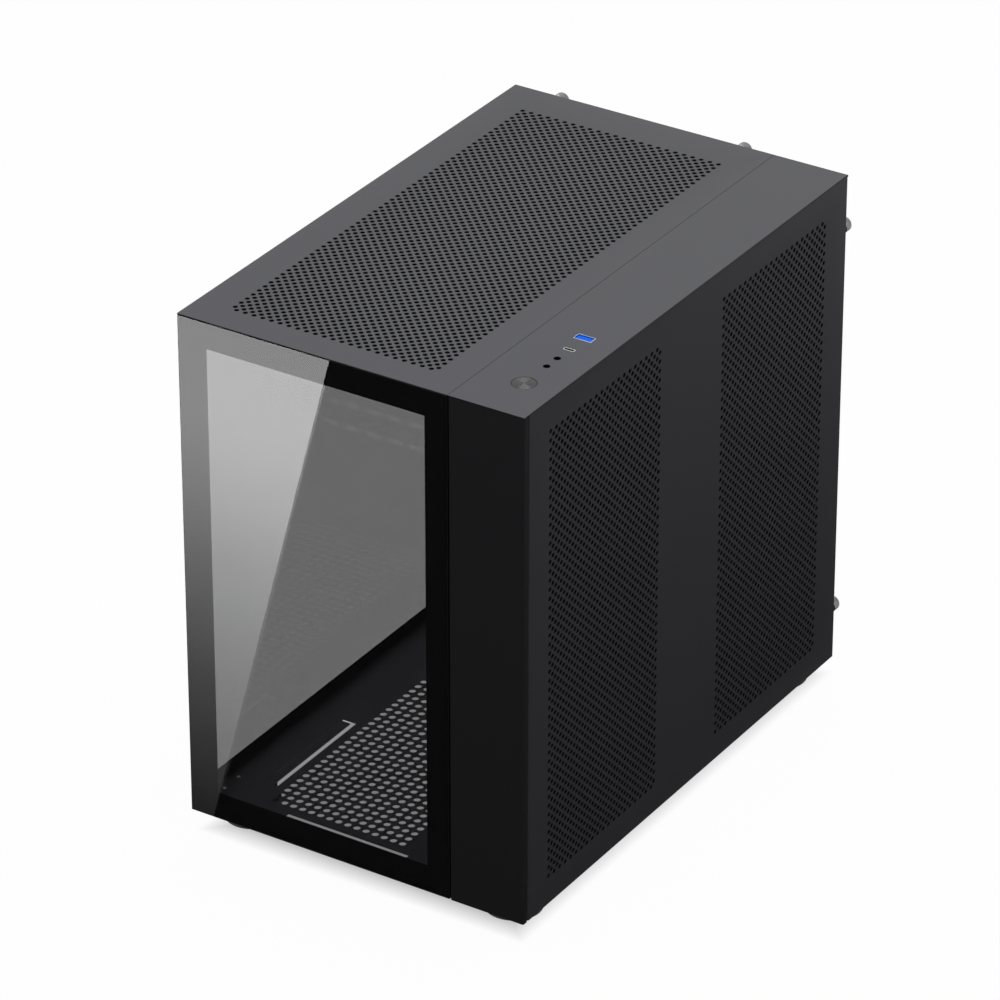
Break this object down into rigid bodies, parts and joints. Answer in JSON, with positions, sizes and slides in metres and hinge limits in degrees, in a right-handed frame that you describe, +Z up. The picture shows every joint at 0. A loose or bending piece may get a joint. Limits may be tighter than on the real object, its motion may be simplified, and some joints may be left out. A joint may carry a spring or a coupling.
{
  "type": "dual-chamber atx pc case",
  "caption": "Black steel tower case for an ATX board, with tinted glass front and left side, perforated top and right panel, and a narrow second chamber for the power supply.",
  "frame": {"origin": "centre of the bounding box, on the surface that the feet stand on", "axes": "+X to the case's right, seen from its front; +Y from the front glass to the rear wall; +Z up"},
  "size_m": [0.285, 0.449, 0.424],
  "materials": {
    "black_powder_coat": "satin fine-textured powder coat",
    "tinted_glass": "polished, with a black printed border",
    "black_rubber": "matt",
    "black_plastic": "fine moulded texture",
    "blue_plastic": "moulded, half gloss",
    "circuit_board": "solder mask",
    "nickel_plate": "bright plated steel",
    "spun_grey_metal": "spun, with fine round turning marks",
    "dark_nickel": "dark nickel plate"
  },
  "bodies": {
    "case": {"base_pan": "black_powder_coat", "rear_wall": "black_powder_coat", "top_frame": "black_powder_coat", "front_pillar": "black_powder_coat", "motherboard_tray": "black_powder_coat", "slot_retainer": "black_powder_coat", "front_glass_rim": "black_powder_coat", "front_trim": "black_powder_coat", "port_cover": "black_powder_coat", "supply_shelf": "black_powder_coat", "drive_cage": "black_powder_coat", "ssd_bracket_lower": "black_powder_coat", "ssd_bracket_upper": "black_powder_coat", "slot_cover_1": "black_powder_coat", "slot_cover_2": "black_powder_coat", "slot_cover_3": "black_powder_coat", "slot_cover_4": "black_powder_coat", "slot_cover_5": "black_powder_coat", "slot_cover_6": "black_powder_coat", "slot_cover_7": "black_powder_coat", "front_glass": "tinted_glass", "cable_grommet_1": "black_rubber", "cable_grommet_2": "black_rubber", "cable_grommet_3": "black_rubber", "foot_pad_front_left": "black_rubber", "foot_pad_front_right": "black_rubber", "foot_pad_rear_left": "black_rubber", "foot_pad_rear_right": "black_rubber", "foot_front_left": "black_plastic", "foot_front_right": "black_plastic", "foot_rear_left": "black_plastic", "foot_rear_right": "black_plastic", "port_module": "black_plastic", "audio_jack_front": "black_plastic", "audio_jack_rear": "black_plastic", "drive_carrier_left": "black_plastic", "drive_carrier_right": "black_plastic", "usb_c_tongue": "black_plastic", "usb_a_tongue": "blue_plastic", "port_board": "circuit_board", "usb_a_shell": "nickel_plate", "usb_c_shell": "nickel_plate"},
    "top_cover": {"top_cover": "black_powder_coat", "cover_thumbscrew_left": "dark_nickel", "cover_thumbscrew_right": "dark_nickel"},
    "right_panel": {"right_panel": "black_powder_coat", "panel_thumbscrew_upper": "dark_nickel", "panel_thumbscrew_lower": "dark_nickel"},
    "left_door": {"left_glass": "tinted_glass", "left_glass_rim": "black_powder_coat", "door_thumbscrew_upper": "dark_nickel", "door_thumbscrew_lower": "dark_nickel"},
    "power_button": {"power_button": "spun_grey_metal"}
  },
  "joints": [
    {"name": "power_button_press", "type": "slide", "parent": "case", "child": "power_button", "axis": [0, 0, -1], "range_m": [0, 0.0015], "stiffness_N_per_m": 1000, "springref_m": -0.0015},
    {"name": "top_cover_slide", "type": "slide", "parent": "case", "child": "top_cover", "axis": [0, 1, 0], "range_m": [0, 0.01]},
    {"name": "right_panel_slide", "type": "slide", "parent": "case", "child": "right_panel", "axis": [0, 1, 0], "range_m": [0, 0.01]},
    {"name": "left_door_slide", "type": "slide", "parent": "case", "child": "left_door", "axis": [0, 1, 0], "range_m": [0, 0.01]}
  ]
}
